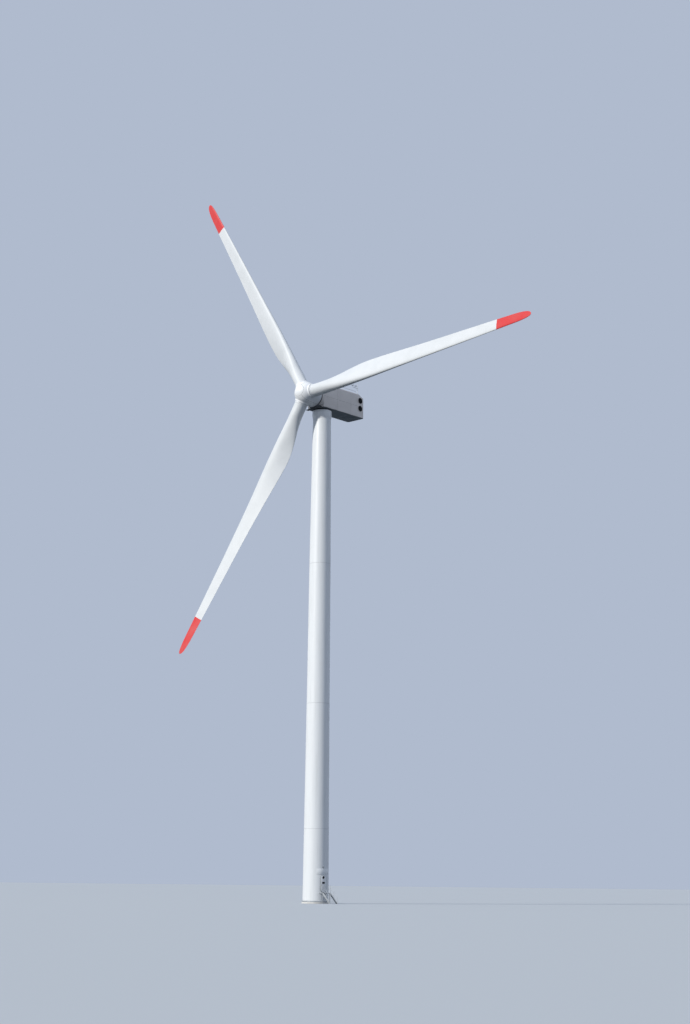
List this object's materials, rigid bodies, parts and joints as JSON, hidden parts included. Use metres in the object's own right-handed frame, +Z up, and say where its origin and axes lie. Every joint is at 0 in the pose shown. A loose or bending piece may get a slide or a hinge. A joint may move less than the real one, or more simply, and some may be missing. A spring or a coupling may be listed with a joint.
{
  "type": "wind turbine (1:10 scale model)",
  "caption": "Horizontal-axis wind turbine with a box nacelle on a tapered tubular tower, twisted red-tipped blades, a round spinner and a tower door with stair.",
  "frame": {"origin": "middle of the foundation plinth's underside, on the tower axis at ground level", "axes": "+Z up the tower, +X towards the tower door; at rest the rotor faces 11.5 degrees from -Y towards +X"},
  "size_m": [7.1333, 2.2551, 11.9817],
  "materials": {
    "tower_paint": "satin",
    "housing_gelcoat": "satin",
    "blade_gelcoat": "satin",
    "bare_steel": "machined",
    "galvanised_steel": "dull",
    "dark_plastic": "matte",
    "sign_aluminium": "satin",
    "concrete": "cast"
  },
  "bodies": {
    "tower": {"foundation_plinth": "concrete", "base_flange": "tower_paint", "base_wall_far_nose": "tower_paint", "base_wall_far_tail": "tower_paint", "base_wall_door_nose": "tower_paint", "base_wall_door_tail": "tower_paint", "base_wall_under_door": "tower_paint", "base_wall_over_door": "tower_paint", "tower_section_1": "tower_paint", "tower_section_2": "tower_paint", "tower_section_3": "tower_paint", "tower_section_4": "tower_paint", "tower_shoulder": "tower_paint", "tower_neck": "tower_paint", "tower_flange_1": "tower_paint", "tower_flange_2": "tower_paint", "tower_flange_3": "tower_paint", "yaw_ring": "bare_steel", "entrance_floor": "galvanised_steel", "door_frame": "tower_paint", "sign_plate": "sign_aluminium", "door_lamp": "dark_plastic", "stair_platform": "galvanised_steel", "stair_flight": "galvanised_steel", "stair_rail_nose": "galvanised_steel", "stair_rail_tail": "galvanised_steel"},
    "door": {"door_leaf": "tower_paint", "door_louvre": "dark_plastic", "door_round_vent": "dark_plastic", "door_handle": "bare_steel"},
    "nacelle": {"yaw_turntable": "bare_steel", "nacelle_lower_shell": "housing_gelcoat", "nacelle_upper_shell": "housing_gelcoat", "nacelle_front_cowl": "housing_gelcoat", "vent_right_lower": "dark_plastic", "vent_right_upper": "dark_plastic", "vent_left_lower": "dark_plastic", "vent_left_upper": "dark_plastic", "roof_hatch": "housing_gelcoat", "roof_rail_right": "galvanised_steel", "roof_rail_left": "galvanised_steel", "floor_hatch": "housing_gelcoat", "front_apron": "dark_plastic", "weather_mast": "galvanised_steel", "anemometer_cups": "dark_plastic", "wind_vane": "dark_plastic"},
    "rotor": {"spinner": "housing_gelcoat", "main_shaft": "bare_steel", "pitch_bearing_1": "bare_steel", "pitch_bearing_2": "bare_steel", "pitch_bearing_3": "bare_steel"},
    "blade_1": {"blade_1": "blade_gelcoat"},
    "blade_2": {"blade_2": "blade_gelcoat"},
    "blade_3": {"blade_3": "blade_gelcoat"}
  },
  "joints": [
    {"name": "yaw", "type": "hinge", "parent": "tower", "child": "nacelle", "pos_m": [0, 0, 7.8], "axis": [0, 0, 1], "range_deg": [-540, 540]},
    {"name": "rotor_spin", "type": "hinge", "parent": "nacelle", "child": "rotor", "pos_m": [0.07716, -0.37923, 8.028], "axis": [-0.1986, 0.9762, -0.0872], "continuous": true},
    {"name": "tower_door", "type": "hinge", "parent": "tower", "child": "door", "pos_m": [0.2048, 0.0525, 0.285], "axis": [0, 0, 1], "range_deg": [0, 90]},
    {"name": "blade_1_pitch", "type": "hinge", "parent": "rotor", "child": "blade_1", "pos_m": [0.07716, -0.37923, 8.028], "axis": [0.5426, 0.0355, -0.8392], "range_deg": [0, 90]},
    {"name": "blade_2_pitch", "type": "hinge", "parent": "rotor", "child": "blade_2", "pos_m": [0.07716, -0.37923, 8.028], "axis": [-0.9781, -0.203, -0.0452], "range_deg": [0, 90]},
    {"name": "blade_3_pitch", "type": "hinge", "parent": "rotor", "child": "blade_3", "pos_m": [0.07716, -0.37923, 8.028], "axis": [0.4355, 0.1676, 0.8844], "range_deg": [0, 90]}
  ]
}
